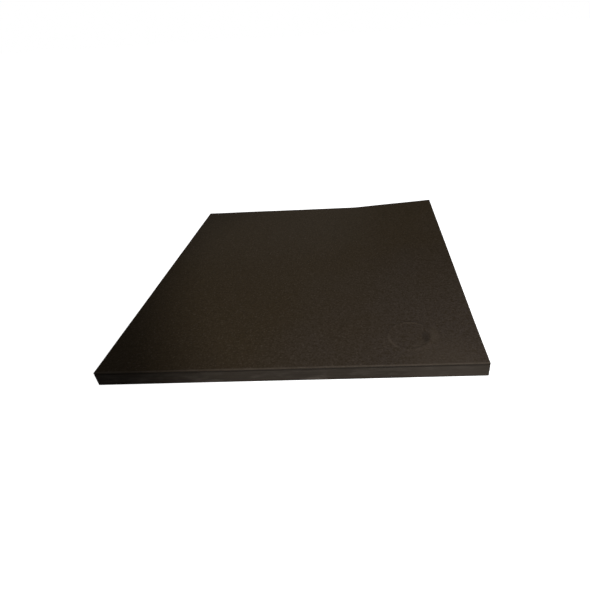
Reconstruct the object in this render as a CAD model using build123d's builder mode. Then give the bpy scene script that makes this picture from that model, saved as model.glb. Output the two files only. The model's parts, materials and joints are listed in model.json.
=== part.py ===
from build123d import *
from math import atan, cos, degrees, radians, sin, tan
import os

# Seedling heat mat: a square rubber slab that warms seed trays from below.
#
# A thick sheet of grained rubber, the cover, is sealed on a shallow rubber tray. The tray holds a foam
# core, a printed heating film between two plastic films, an earthed aluminium heat spreader and, near
# the front right corner, a round puck with a snap-disc thermostat. The supply cord would enter through
# a gland that is sunk in the right side. The back right corner of the slab has curled up a little.
#
# Frame: +Z up, X to the right, Y to the back, millimetres. The origin is the middle of the underside.

# ---- slab ---------------------------------------------------------------------------------------
SIDE = 508.0
THICKNESS = 22.0
CORNER_RADIUS = 1.0          # in plan

# The raised corner: the slab bends about a straight line that runs from the right edge to the back edge.
BEND_RIGHT_Y = -170.0        # where the line meets the right edge
BEND_BACK_X = 85.0           # where it meets the back edge
CORNER_LIFT = 11.0           # how far the back right corner stands off the bench
BEND_RADIUS = 300.0          # of the underside

COVER = 3.0                  # rubber cover sheet
SPREADER = 0.3               # aluminium sheet
FILM = 0.3                   # each of the two plastic films
ELEMENT = 0.2                # carbon strips and copper busbars
SEAL = 0.5                   # sealing strip in the joint between cover and tray
SEAL_INSET = 1.2             # of the strip, from the outline
TRAY_FLOOR = 2.5
TRAY_WALL = 5.0
JOINT_CHAMFER = 0.6          # on both sides of the joint line
TOP_CHAMFER = 0.5            # worn arris of the cover

# ---- heights, from the bench up -----------------------------------------------------------------
COVER_LOW = THICKNESS - COVER
SPREADER_LOW = COVER_LOW - SPREADER
UPPER_FILM_LOW = SPREADER_LOW - FILM
ELEMENT_LOW = UPPER_FILM_LOW - ELEMENT
LOWER_FILM_LOW = ELEMENT_LOW - FILM
WALL_TOP = COVER_LOW - SEAL
CORE_LOW = TRAY_FLOOR
CORE_HIGH = LOWER_FILM_LOW
SKY = 80.0                   # height of a cutter that passes through everything
REACH = 800.0                # length of a cutter that passes through everything
SLACK = 0.05                 # clearance of a piece that is a push fit

HALF = SIDE / 2
INNER = SIDE - 2 * TRAY_WALL         # inside of the tray
CORE_SIDE = INNER - 1.0
FILM_SIDE = INNER - 4.0

# ---- heating film -------------------------------------------------------------------------------
STRIP_COUNT = 36
STRIP_PITCH = 12.2
STRIP_WIDTH = 10.0
BUSBAR_X = 221.0
BUSBAR_WIDTH = 12.0
BUSBAR_OVERRUN = 10.0        # past the outermost strips
STRIP_LENGTH = 2 * BUSBAR_X - BUSBAR_WIDTH
BUSBAR_LENGTH = STRIP_COUNT * STRIP_PITCH + 2 * BUSBAR_OVERRUN

# ---- thermostat puck ----------------------------------------------------------------------------
PUCK_X, PUCK_Y = 163.5, -198.0
PUCK_RADIUS = 31.5
PUCK_WALL = 2.0
PUCK_FLOOR = 1.5
LID = 1.5
LID_RIM = 1.6                # width of the raised rim, which prints through the cover as a faint ring
LID_DISH = 0.4               # depth of the lid's middle below that rim
BOSS_CIRCLE = 25.5           # radius of the circle of the four lid screws
BOSS_RADIUS = 2.6
SCREW_RADIUS = 0.9
SCREW_HEAD_RADIUS = 1.85
SCREW_HEAD = 1.0
SCREW_LENGTH = 7.0
SCREW_SUNK = 0.1             # depth of a head below the lid
DRIVE_SLOT = (2.2, 0.5)      # each of the two slots of a screw's cross
SLOT_WIDTH = 6.0             # gap in the wall of the puck where a lead passes
SUPPLY_SLOT, SWITCHED_SLOT = -30.0, 20.0     # directions of the two gaps, in degrees
CUP_TOP = CORE_HIGH - LID
CUP_IN = CORE_LOW + PUCK_FLOOR

# ---- gland, sunk in the right side --------------------------------------------------------------
GLAND_Y = -222.0
GLAND_Z = 8.0
CORD_RADIUS = 3.3            # bore for a 6 mm cord
SPIGOT_RADIUS = 4.5
SPIGOT_END = 238.0
SPIGOT_HOLE = 4.6
HOUSING_X = 225.0            # inner face of the housing
HOUSING_WIDTH = 32.0
HOUSING_WALL = 4.0
NICHE = (24.0, 12.0)         # the open space round the nut
FLANGE = 2.5
FLANGE_SIZE = (20.0, 10.6)
GASKET = 0.8
CORD_SEAL = 3.0
NUT_RADIUS = 5.5
NUT_LOW, NUT_END = 230.0, 243.0
NUT_HOLE = 3.6
KNURLS = 24
KNURL_RADIUS = 0.35
FLANGE_X = HOUSING_X - GASKET - FLANGE
SEAL_END = SPIGOT_END + CORD_SEAL

# ---- terminal block, lugs and leads -------------------------------------------------------------
BLOCK_X, BLOCK_LENGTH = 194.5, 17.0
BLOCK_TOP = 12.9
POLES = 3
POLE_PITCH = 8.0
POLE_Z = 8.0
SLEEVE_RADIUS = 2.0
SLEEVE_BORE = 0.9
CLAMP_INSET = 4.0            # from each end of a sleeve to its clamping screw
CLAMP_RADIUS = 1.05
CLAMP_HEAD_RADIUS = 1.8
CLAMP_HEAD = 1.2
CLAMP_SLOT = 0.5
CLAMP_TIP_Z, CLAMP_HEAD_Z = 8.8, 11.2
CLAMP_MIDDLE = BLOCK_X + BLOCK_LENGTH / 2
CLAMP_SPACING = BLOCK_LENGTH - 2 * CLAMP_INSET
LEAD_RADIUS = 1.1
LUG_BARREL_RADIUS = 1.7
LUG_BARREL = 7.0
LUG_Z = CORE_HIGH - 2.4      # height of the barrels' axes
LUG_PLATE = (9.0, 7.0)
LUG_PLATE_THICKNESS = 0.3
LUG_NECK = (1.0, 3.0)
WINDOW = (10.0, 8.0)         # opening in a film round a lug
LIVE_LUG = (BUSBAR_X, -185.0)
NEUTRAL_LUG = (-BUSBAR_X, -228.0)
EARTH_LUG = (168.0, -237.5)

# ---- hollows of the foam core: nearest left corner and size -------------------------------------
CHANNEL_FLOOR = 3.5
CHANNELS = (
    ((-190.0, -243.0), (370.0, 6.0)),        # neutral lead
    ((-219.0, -243.0), (33.0, 19.0)),        # neutral lug
    ((162.0, -242.0), (18.0, 8.5)),          # earth lug
    ((190.0, -190.5), (29.0, 10.0)),         # live lug
)
CHAMBER = ((174.0, -242.0), (51.5, 38.0))    # terminal block
FOAM_CLEARANCE = 0.5

# ---- snap-disc thermostat, measured from its own axis -------------------------------------------
STAT_TURN = SUPPLY_SLOT      # direction of its terminals
STAT_RADIUS = 7.5
STAT_CAVITY = 6.3
STAT_BASE = 1.2
STAT_CAP = 0.4               # aluminium cap
STAT_SKIRT = 3.2
STAT_TOP = CUP_TOP - STAT_CAP
DISC_SEAT = STAT_TOP - 0.9
DISC_RADIUS = 6.6
DISC_THICKNESS = 0.2
DISC_RISE = 0.35
RECESS_RADIUS = 5.9          # the hollow that the disc snaps into
RECESS_LOW = DISC_SEAT - 0.9
GUIDE_LOW = RECESS_LOW - 3.0         # of the hole that guides the pin
PIN_RADIUS = 1.0
PIN_LOW, PIN_HIGH = 8.05, DISC_SEAT + 0.15
TAB = 0.8                    # thickness of a terminal
TAB_WIDTH = 4.8
TAB_END = 13.0
TAB_LOW = CUP_IN + STAT_BASE
TAB_MIDDLE = TAB_LOW + TAB / 2
POST = (-5.8, -4.6)          # the post that carries the contact arm
POST_TOP = 8.3
ARM = (-4.45, 4.9)
ARM_LOW, ARM_THICKNESS = 7.75, 0.25
ARM_WIDTH = 3.0
BUTTON_X = 3.9
BUTTON_RADIUS = 0.8
BUTTON = 0.48
RISER = (5.2, 5.8)
BRACKET_START = 2.9
BRACKET_LOW, BRACKET_TOP = 8.5, 8.9
CONNECTOR = (8.6, 15.4)
CONNECTOR_HEIGHT = 2.4
CONNECTOR_WIDTH = 6.4
CRIMP_END = 18.0
CRIMP_RADIUS = 1.2

os.makedirs("parts", exist_ok=True)


def save(piece, name):
    """Label a finished piece and write it as one STEP file, whose name is the node's name."""
    piece.part.label = name
    export_step(piece.part, f"parts/{name}.step")


def level(x, y, z, turn=0.0):
    """A horizontal plane at a point, with its own X turned by so many degrees."""
    return Plane(origin=(x, y, z), x_dir=(cos(radians(turn)), sin(radians(turn)), 0))


def in_puck(z, turn=0.0):
    """A horizontal plane on the axis of the puck."""
    return level(PUCK_X, PUCK_Y, z, turn)


def facing_right(x, y, z):
    """A plane that looks along +X, with its own X along +Y."""
    return Plane(origin=(x, y, z), x_dir=(0, 1, 0), z_dir=(1, 0, 0))


# ---- the bend -----------------------------------------------------------------------------------
# Across the bend line the slab is flat, then an arc, then straight and rising. All layers share the
# arc's centre, so they keep their thickness and lie face to face.
bend_start = Vector(HALF, BEND_RIGHT_Y)
bend_run = (Vector(BEND_BACK_X, HALF) - bend_start).normalized()
bend_across = Vector(bend_run.Y, -bend_run.X)
corner_distance = (Vector(HALF, HALF) - bend_start).dot(bend_across)
bend_angle = degrees(atan(CORNER_LIFT / corner_distance))
arc_start = -BEND_RADIUS * tan(radians(bend_angle / 2))
bend_plane = Plane(origin=bend_start, x_dir=bend_across, z_dir=-bend_run)


def bent_layer(low, high):
    """Everything between two heights of the bent slab, far past its edges on all sides."""
    with BuildPart() as layer:
        with BuildSketch(bend_plane):
            with BuildLine():
                ends = []
                for height in (low, high):
                    flat = Line((-REACH, height), (arc_start, height))
                    arc = JernArc(flat @ 1, flat % 1, BEND_RADIUS - height, bend_angle)
                    raised = PolarLine(arc @ 1, REACH, direction=arc % 1)
                    ends.append((flat @ 0, raised @ 1))
                Line(ends[0][0], ends[1][0])
                Line(ends[0][1], ends[1][1])
            make_face()
        extrude(amount=REACH, both=True)
    return layer.part


def bent_slab(low, high, side):
    """A rounded square of the bent slab between two heights."""
    layer = bent_layer(low, high)
    with BuildPart() as slab:
        with BuildSketch():
            RectangleRounded(side, side, CORNER_RADIUS)
        extrude(amount=SKY)
        add(layer, mode=Mode.INTERSECT)
    return slab.part


def outline_edges(part, upward):
    """The edges round the outline of a slab's upper or lower side, over its flat, arc and raised faces."""
    edges = ShapeList()
    for face in part.faces().sort_by(SortBy.AREA)[-6:]:
        rise = face.normal_at(face.center()).Z
        if abs(rise) > 0.9 and (rise > 0) == upward:
            for edge in face.outer_wire().edges():
                middle = edge.center()
                if max(abs(middle.X), abs(middle.Y)) > HALF - CORNER_RADIUS:
                    edges.append(edge)
    return edges


# ---- cover, tray and the seal between them ------------------------------------------------------
cover_slab = bent_slab(COVER_LOW, THICKNESS, SIDE)
seal_slab = bent_slab(WALL_TOP, COVER_LOW, SIDE - 2 * SEAL_INSET)
seal_hollow = bent_slab(WALL_TOP - SEAL, COVER_LOW + SEAL, INNER + 1)
tray_slab = bent_slab(0, WALL_TOP, SIDE)
tray_hollow = bent_slab(TRAY_FLOOR, WALL_TOP + SEAL, INNER)

with BuildPart() as top_cover:
    add(cover_slab)
    chamfer(outline_edges(top_cover.part, upward=True), TOP_CHAMFER)
    chamfer(outline_edges(top_cover.part, upward=False), JOINT_CHAMFER)
save(top_cover, "top_cover")

with BuildPart() as perimeter_seal:
    add(seal_slab)
    add(seal_hollow, mode=Mode.SUBTRACT)
save(perimeter_seal, "perimeter_seal")

with BuildPart() as base_tray:
    add(tray_slab)
    chamfer(outline_edges(base_tray.part, upward=True), JOINT_CHAMFER)
    add(tray_hollow, mode=Mode.SUBTRACT)
    with BuildSketch(level(HOUSING_X, GLAND_Y, -TRAY_FLOOR)):
        Rectangle(SIDE, HOUSING_WIDTH, align=(Align.MIN, Align.CENTER))
    extrude(amount=SKY, mode=Mode.SUBTRACT)
save(base_tray, "base_tray")

# ---- heating film and heat spreader -------------------------------------------------------------
spreader_slab = bent_slab(SPREADER_LOW, COVER_LOW, FILM_SIDE)
upper_film_slab = bent_slab(UPPER_FILM_LOW, SPREADER_LOW, FILM_SIDE)
element_layer = bent_layer(ELEMENT_LOW, UPPER_FILM_LOW)
lower_film_slab = bent_slab(LOWER_FILM_LOW, ELEMENT_LOW, FILM_SIDE)

with BuildPart() as heat_spreader:
    add(spreader_slab)
save(heat_spreader, "heat_spreader")

with BuildPart() as upper_film:
    add(upper_film_slab)
    with BuildSketch(level(*EARTH_LUG, 0)):
        Rectangle(*WINDOW)
    extrude(amount=SKY, mode=Mode.SUBTRACT)
save(upper_film, "upper_film")

with BuildPart() as lower_film:
    add(lower_film_slab)
    with BuildSketch():
        with Locations(LIVE_LUG, NEUTRAL_LUG, EARTH_LUG):
            Rectangle(*WINDOW)
    extrude(amount=SKY, mode=Mode.SUBTRACT)
save(lower_film, "lower_film")

with BuildPart() as carbon_strips:
    with BuildSketch():
        with GridLocations(0, STRIP_PITCH, 1, STRIP_COUNT):
            Rectangle(STRIP_LENGTH, STRIP_WIDTH)
    extrude(amount=SKY)
    add(element_layer, mode=Mode.INTERSECT)
save(carbon_strips, "carbon_strips")

for busbar_name, busbar_x in (("busbar_left", -BUSBAR_X), ("busbar_right", BUSBAR_X)):
    with BuildPart() as busbar:
        with BuildSketch(level(busbar_x, 0, 0)):
            Rectangle(BUSBAR_WIDTH, BUSBAR_LENGTH)
        extrude(amount=SKY)
        add(element_layer, mode=Mode.INTERSECT)
    save(busbar, busbar_name)

# ---- foam core ----------------------------------------------------------------------------------
core_slab = bent_slab(CORE_LOW, CORE_HIGH, CORE_SIDE)

with BuildPart() as foam_core:
    add(core_slab)
    with BuildSketch(level(0, 0, CHANNEL_FLOOR)):
        for corner, size in CHANNELS:
            with Locations(corner):
                Rectangle(*size, align=(Align.MIN, Align.MIN))
    extrude(amount=SKY, mode=Mode.SUBTRACT)
    with BuildSketch():
        with Locations((PUCK_X, PUCK_Y)):
            Circle(PUCK_RADIUS + FOAM_CLEARANCE)
        with Locations(CHAMBER[0]):
            Rectangle(*CHAMBER[1], align=(Align.MIN, Align.MIN))
        with Locations((HOUSING_X - FOAM_CLEARANCE, GLAND_Y)):
            Rectangle(SIDE, HOUSING_WIDTH + 2 * FOAM_CLEARANCE, align=(Align.MIN, Align.CENTER))
    extrude(amount=SKY, mode=Mode.SUBTRACT)
save(foam_core, "foam_core")

# ---- gland and its housing ----------------------------------------------------------------------
with BuildPart() as gland_housing:
    with BuildSketch(level(HALF, GLAND_Y, 0)):
        Rectangle(HALF - HOUSING_X, HOUSING_WIDTH, align=(Align.MAX, Align.CENTER))
    extrude(amount=CORE_HIGH)
    with BuildSketch(level(HALF, GLAND_Y, 0)):
        Rectangle(TRAY_WALL, HOUSING_WIDTH, align=(Align.MAX, Align.CENTER))
    extrude(amount=WALL_TOP)
    upper_outer_edge = gland_housing.edges().filter_by(Axis.Y).group_by(Axis.Z)[-1].sort_by(Axis.X)[-1]
    chamfer(upper_outer_edge, JOINT_CHAMFER)
    with BuildSketch(facing_right(HOUSING_X + HOUSING_WALL, GLAND_Y, GLAND_Z)):
        RectangleRounded(*NICHE, CORNER_RADIUS)
    extrude(amount=SKY, mode=Mode.SUBTRACT)
    with BuildSketch(facing_right(HOUSING_X, GLAND_Y, GLAND_Z)):
        Circle(SPIGOT_HOLE)
    extrude(amount=SKY, mode=Mode.SUBTRACT)
save(gland_housing, "gland_housing")

with BuildPart() as gland_gasket:
    with BuildSketch(facing_right(HOUSING_X - GASKET, GLAND_Y, GLAND_Z)):
        RectangleRounded(*FLANGE_SIZE, CORNER_RADIUS)
        Circle(SPIGOT_HOLE, mode=Mode.SUBTRACT)
    extrude(amount=GASKET)
save(gland_gasket, "gland_gasket")

with BuildPart() as gland_spigot:
    with BuildSketch(facing_right(FLANGE_X, GLAND_Y, GLAND_Z)):
        RectangleRounded(*FLANGE_SIZE, CORNER_RADIUS)
    extrude(amount=FLANGE)
    with BuildSketch(facing_right(FLANGE_X, GLAND_Y, GLAND_Z)):
        Circle(SPIGOT_RADIUS)
    extrude(amount=SPIGOT_END - FLANGE_X)
    with BuildSketch(facing_right(FLANGE_X, GLAND_Y, GLAND_Z)):
        Circle(CORD_RADIUS)
    extrude(amount=SKY, mode=Mode.SUBTRACT)
save(gland_spigot, "gland_spigot")

with BuildPart() as cord_seal:
    with BuildSketch(facing_right(SPIGOT_END, GLAND_Y, GLAND_Z)):
        Circle(SPIGOT_RADIUS)
        Circle(CORD_RADIUS, mode=Mode.SUBTRACT)
    extrude(amount=CORD_SEAL)
save(cord_seal, "cord_seal")

with BuildPart() as gland_nut:
    with BuildSketch(facing_right(NUT_LOW, GLAND_Y, GLAND_Z)):
        Circle(NUT_RADIUS)
        with PolarLocations(NUT_RADIUS, KNURLS):
            Circle(KNURL_RADIUS, mode=Mode.SUBTRACT)
        Circle(NUT_HOLE, mode=Mode.SUBTRACT)
    extrude(amount=NUT_END - NUT_LOW)
    with BuildSketch(facing_right(NUT_LOW, GLAND_Y, GLAND_Z)):
        Circle(SPIGOT_RADIUS + SLACK)
    extrude(amount=SEAL_END - NUT_LOW, mode=Mode.SUBTRACT)
save(gland_nut, "gland_nut")

# ---- terminal block -----------------------------------------------------------------------------
with BuildPart() as terminal_block:
    with BuildSketch(level(BLOCK_X, GLAND_Y, CORE_LOW)):
        Rectangle(BLOCK_LENGTH, POLES * POLE_PITCH, align=(Align.MIN, Align.CENTER))
    extrude(amount=BLOCK_TOP - CORE_LOW)
    with BuildSketch(facing_right(BLOCK_X, GLAND_Y, POLE_Z)):
        with GridLocations(POLE_PITCH, 0, POLES, 1):
            Circle(SLEEVE_RADIUS + SLACK)
    extrude(amount=BLOCK_LENGTH, mode=Mode.SUBTRACT)
    with BuildSketch(level(CLAMP_MIDDLE, GLAND_Y, POLE_Z)):
        with GridLocations(CLAMP_SPACING, POLE_PITCH, 2, POLES):
            Circle(CLAMP_HEAD_RADIUS + 2 * SLACK)
    extrude(amount=SKY, mode=Mode.SUBTRACT)
save(terminal_block, "terminal_block")

with BuildPart() as terminal_sleeves:
    with BuildSketch(facing_right(BLOCK_X, GLAND_Y, POLE_Z)):
        with GridLocations(POLE_PITCH, 0, POLES, 1):
            Circle(SLEEVE_RADIUS)
            Circle(SLEEVE_BORE, mode=Mode.SUBTRACT)
    extrude(amount=BLOCK_LENGTH)
    with BuildSketch(level(CLAMP_MIDDLE, GLAND_Y, POLE_Z)):
        with GridLocations(CLAMP_SPACING, POLE_PITCH, 2, POLES):
            Circle(CLAMP_RADIUS + SLACK)
    extrude(amount=SKY, mode=Mode.SUBTRACT)
save(terminal_sleeves, "terminal_sleeves")

with BuildPart() as terminal_screws:
    with BuildSketch(level(CLAMP_MIDDLE, GLAND_Y, CLAMP_TIP_Z)):
        with GridLocations(CLAMP_SPACING, POLE_PITCH, 2, POLES):
            Circle(CLAMP_RADIUS)
    extrude(amount=CLAMP_HEAD_Z - CLAMP_TIP_Z)
    with BuildSketch(level(CLAMP_MIDDLE, GLAND_Y, CLAMP_HEAD_Z)):
        with GridLocations(CLAMP_SPACING, POLE_PITCH, 2, POLES):
            Circle(CLAMP_HEAD_RADIUS)
    extrude(amount=CLAMP_HEAD)
    with BuildSketch(level(CLAMP_MIDDLE, GLAND_Y, CLAMP_HEAD_Z + CLAMP_HEAD / 2)):
        with GridLocations(CLAMP_SPACING, POLE_PITCH, 2, POLES):
            Rectangle(2 * CLAMP_HEAD_RADIUS, CLAMP_SLOT)
    extrude(amount=SKY, mode=Mode.SUBTRACT)
save(terminal_screws, "terminal_screws")

# ---- lugs: a plate soldered on from below, a neck and a crimped barrel --------------------------
# name, middle of the plate, height of its upper face, side on which the barrel lies
LUGS = (
    ("live_lug", LIVE_LUG, ELEMENT_LOW, -1),
    ("neutral_lug", NEUTRAL_LUG, ELEMENT_LOW, 1),
    ("earth_lug", EARTH_LUG, SPREADER_LOW, 1),
)

for lug_name, (lug_x, lug_y), lug_top, side in LUGS:
    plate_end = lug_x + side * LUG_PLATE[0] / 2
    neck_x = plate_end - side * LUG_NECK[0] / 2
    with BuildPart() as lug:
        with BuildSketch(level(lug_x, lug_y, lug_top - LUG_PLATE_THICKNESS)):
            Rectangle(*LUG_PLATE)
        extrude(amount=LUG_PLATE_THICKNESS)
        with BuildSketch(level(neck_x, lug_y, LUG_Z)):
            Rectangle(*LUG_NECK)
        extrude(amount=lug_top - LUG_Z)
        with BuildSketch(facing_right(plate_end - side * LUG_NECK[0], lug_y, LUG_Z)):
            Circle(LUG_BARREL_RADIUS)
        extrude(amount=side * (LUG_BARREL + LUG_NECK[0]))
    save(lug, lug_name)

# ---- leads --------------------------------------------------------------------------------------
LUG_REACH = LUG_PLATE[0] / 2 + LUG_BARREL     # from the middle of a lug to the mouth of its barrel
ARC_SHARE = 0.45                              # of the shorter run, taken up by the arc at its end


def around_puck(radius, direction, z):
    """A point at a distance and a direction, in degrees, from the axis of the puck."""
    return (PUCK_X + radius * cos(radians(direction)), PUCK_Y + radius * sin(radians(direction)), z)


LEADS = {
    "supply_live_lead": (
        (BLOCK_X, GLAND_Y + POLE_PITCH, POLE_Z),
        around_puck(32.0, SUPPLY_SLOT, POLE_Z),
        around_puck(22.0, SUPPLY_SLOT, TAB_MIDDLE),
        around_puck(CRIMP_END, SUPPLY_SLOT, TAB_MIDDLE),
    ),
    "switched_live_lead": (
        around_puck(CRIMP_END, STAT_TURN + 180, TAB_MIDDLE),
        around_puck(21.5, STAT_TURN + 180, TAB_MIDDLE),
        around_puck(25.0, 143, 6.0),
        around_puck(25.0, 125, 6.5),
        around_puck(21.0, 100, 7.5),
        around_puck(20.0, 62, 8.5),
        around_puck(23.0, 30, 9.5),
        around_puck(31.0, SWITCHED_SLOT, 11.0),
        (LIVE_LUG[0] - LUG_REACH - 5.5, LIVE_LUG[1], LUG_Z),
        (LIVE_LUG[0] - LUG_REACH, LIVE_LUG[1], LUG_Z),
    ),
    "neutral_lead": (
        (BLOCK_X, GLAND_Y, POLE_Z),
        (BLOCK_X - 4.0, GLAND_Y, POLE_Z),
        (181.0, -232.0, 6.2),
        (166.0, -240.0, 4.8),
        (-188.0, -240.0, 4.8),
        (NEUTRAL_LUG[0] + LUG_REACH + 5.0, NEUTRAL_LUG[1], LUG_Z),
        (NEUTRAL_LUG[0] + LUG_REACH, NEUTRAL_LUG[1], LUG_Z),
    ),
    "earth_lead": (
        (BLOCK_X, GLAND_Y - POLE_PITCH, POLE_Z),
        (BLOCK_X - 3.5, GLAND_Y - POLE_PITCH, POLE_Z),
        (EARTH_LUG[0] + LUG_REACH + 4.5, EARTH_LUG[1], LUG_Z),
        (EARTH_LUG[0] + LUG_REACH, EARTH_LUG[1], LUG_Z),
    ),
}


def arc_radii(points):
    """The largest arcs that fit the corners of a lead's route."""
    corners = [Vector(*point) for point in points]
    radii = []
    for before, here, after in zip(corners, corners[1:], corners[2:]):
        turn = radians((here - before).get_angle(after - here))
        shorter = min((here - before).length, (after - here).length)
        radii.append(ARC_SHARE * shorter / tan(turn / 2))
    return radii


for lead_name, route in LEADS.items():
    radii = arc_radii(route)
    print(lead_name, "radii", [round(radius, 1) for radius in radii])
    with BuildPart() as lead:
        with BuildLine() as path:
            FilletPolyline(*route, radius=radii)
        with BuildSketch(Plane(origin=path.line @ 0, z_dir=path.line % 0)):
            Circle(LEAD_RADIUS)
        sweep()
    save(lead, lead_name)

# ---- puck ---------------------------------------------------------------------------------------
with BuildPart() as puck_cup:
    with BuildSketch(in_puck(CORE_LOW)):
        Circle(PUCK_RADIUS)
    extrude(amount=CUP_TOP - CORE_LOW)
    with BuildSketch(in_puck(CUP_IN)):
        Circle(PUCK_RADIUS - PUCK_WALL)
        with PolarLocations(BOSS_CIRCLE, 4):
            Circle(BOSS_RADIUS, mode=Mode.SUBTRACT)
    extrude(amount=SKY, mode=Mode.SUBTRACT)
    for direction in (SUPPLY_SLOT, SWITCHED_SLOT):
        with BuildSketch(in_puck(TAB_LOW, direction)):
            with Locations((PUCK_RADIUS, 0)):
                Rectangle(3 * PUCK_WALL, SLOT_WIDTH)
        extrude(amount=SKY, mode=Mode.SUBTRACT)
    with BuildSketch(in_puck(CUP_TOP - SCREW_LENGTH)):
        with PolarLocations(BOSS_CIRCLE, 4):
            Circle(SCREW_RADIUS + SLACK)
    extrude(amount=SKY, mode=Mode.SUBTRACT)
save(puck_cup, "puck_cup")

LID_FACE = CORE_HIGH - LID_DISH

with BuildPart() as puck_lid:
    with BuildSketch(in_puck(CUP_TOP)):
        Circle(PUCK_RADIUS)
    extrude(amount=LID)
    with BuildSketch(in_puck(LID_FACE)):
        Circle(PUCK_RADIUS - LID_RIM)
    extrude(amount=SKY, mode=Mode.SUBTRACT)
    with Locations(in_puck(LID_FACE)):
        with PolarLocations(BOSS_CIRCLE, 4):
            CounterSinkHole(SCREW_RADIUS + 2 * SLACK, SCREW_HEAD_RADIUS + 3 * SLACK, SCREW_LENGTH)
save(puck_lid, "puck_lid")

head_top = LID_FACE - SCREW_SUNK
screw_axis_point = (PUCK_X + BOSS_CIRCLE, PUCK_Y)
with BuildPart() as one_screw:
    with BuildSketch(Plane(origin=(*screw_axis_point, head_top), x_dir=(1, 0, 0), z_dir=(0, -1, 0))):
        with BuildLine():
            Polyline(
                (0, 0),
                (SCREW_HEAD_RADIUS, 0),
                (SCREW_RADIUS, -SCREW_HEAD),
                (SCREW_RADIUS, SCREW_RADIUS - SCREW_LENGTH),
                (0, -SCREW_LENGTH),
                close=True,
            )
        make_face()
    revolve(axis=Axis((*screw_axis_point, 0), (0, 0, 1)))
    with BuildSketch(level(*screw_axis_point, head_top - SCREW_HEAD / 2)):
        Rectangle(*DRIVE_SLOT)
        Rectangle(*DRIVE_SLOT, rotation=90)
    extrude(amount=SKY, mode=Mode.SUBTRACT)

with BuildPart() as puck_screws:
    for quarter in range(4):
        add(one_screw.part.rotate(Axis((PUCK_X, PUCK_Y, 0), (0, 0, 1)), 90 * quarter))
save(puck_screws, "puck_screws")

# ---- thermostat ---------------------------------------------------------------------------------
# The upright plane through its axis and its terminals, from which the flat pieces are extruded.
stat_plane = Plane(
    origin=(PUCK_X, PUCK_Y, 0),
    x_dir=(cos(radians(STAT_TURN)), sin(radians(STAT_TURN)), 0),
    z_dir=(sin(radians(STAT_TURN)), -cos(radians(STAT_TURN)), 0),
)
stat_axis = Axis((PUCK_X, PUCK_Y, 0), (0, 0, 1))


def upright_block(start, end, low, high):
    """In a sketch on the upright plane: a rectangle between two distances and two heights."""
    with Locations(((start + end) / 2, (low + high) / 2)):
        Rectangle(end - start, high - low)


with BuildPart() as thermostat_base:
    with BuildSketch(in_puck(CUP_IN)):
        Circle(STAT_RADIUS)
    extrude(amount=STAT_BASE)
save(thermostat_base, "thermostat_base")

with BuildPart() as thermostat_body:
    with BuildSketch(in_puck(TAB_LOW)):
        Circle(STAT_RADIUS)
    extrude(amount=STAT_TOP - TAB_LOW)
    for low, high, radius in (
        (TAB_LOW, GUIDE_LOW, STAT_CAVITY),
        (GUIDE_LOW, RECESS_LOW, PIN_RADIUS + SLACK),
        (RECESS_LOW, DISC_SEAT, RECESS_RADIUS),
        (DISC_SEAT, STAT_TOP, DISC_RADIUS + 2 * SLACK),
    ):
        with BuildSketch(in_puck(low)):
            Circle(radius)
        extrude(amount=high - low, mode=Mode.SUBTRACT)
    with BuildSketch(stat_plane):
        upright_block(-TAB_END, TAB_END, TAB_LOW, TAB_LOW + TAB + SLACK)
    extrude(amount=TAB_WIDTH / 2 + SLACK, both=True, mode=Mode.SUBTRACT)
save(thermostat_body, "thermostat_body")

with BuildPart() as thermostat_cap:
    with BuildSketch(in_puck(CUP_TOP)):
        Circle(STAT_RADIUS + SLACK + STAT_CAP)
    extrude(amount=-STAT_SKIRT)
    with BuildSketch(in_puck(STAT_TOP)):
        Circle(STAT_RADIUS + SLACK)
    extrude(amount=-STAT_SKIRT, mode=Mode.SUBTRACT)
save(thermostat_cap, "thermostat_cap")

with BuildPart() as snap_disc:
    with BuildSketch(stat_plane):
        with BuildLine():
            crown = DISC_SEAT + DISC_RISE
            lower = TangentArc((0, crown), (DISC_RADIUS, DISC_SEAT), tangent=(1, 0))
            upper = TangentArc(
                (0, crown + DISC_THICKNESS), (DISC_RADIUS, DISC_SEAT + DISC_THICKNESS), tangent=(1, 0)
            )
            Line(lower @ 0, upper @ 0)
            Line(lower @ 1, upper @ 1)
        make_face()
    revolve(axis=stat_axis)
save(snap_disc, "snap_disc")

with BuildPart() as push_pin:
    with BuildSketch(stat_plane):
        with BuildLine():
            nose = TangentArc((0, PIN_LOW), (PIN_RADIUS, PIN_LOW + PIN_RADIUS), tangent=(1, 0))
            Polyline(nose @ 1, (PIN_RADIUS, PIN_HIGH), (0, PIN_HIGH), nose @ 0)
        make_face()
    revolve(axis=stat_axis)
save(push_pin, "push_pin")

with BuildPart() as contact_arm:
    with BuildSketch(stat_plane):
        upright_block(*ARM, ARM_LOW, ARM_LOW + ARM_THICKNESS)
    extrude(amount=ARM_WIDTH / 2, both=True)
    with BuildSketch(in_puck(ARM_LOW + ARM_THICKNESS, STAT_TURN)):
        with Locations((BUTTON_X, 0)):
            Circle(BUTTON_RADIUS)
    extrude(amount=BUTTON)
save(contact_arm, "contact_arm")

with BuildPart() as moving_terminal:
    with BuildSketch(stat_plane):
        upright_block(-TAB_END, POST[1], TAB_LOW, TAB_LOW + TAB)
        upright_block(*POST, TAB_LOW, POST_TOP)
    extrude(amount=TAB_WIDTH / 2, both=True)
save(moving_terminal, "moving_terminal")

with BuildPart() as fixed_terminal:
    with BuildSketch(stat_plane):
        upright_block(RISER[0], TAB_END, TAB_LOW, TAB_LOW + TAB)
        upright_block(*RISER, TAB_LOW, BRACKET_TOP)
        upright_block(BRACKET_START, RISER[1], BRACKET_LOW, BRACKET_TOP)
    extrude(amount=TAB_WIDTH / 2, both=True)
save(fixed_terminal, "fixed_terminal")

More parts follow.
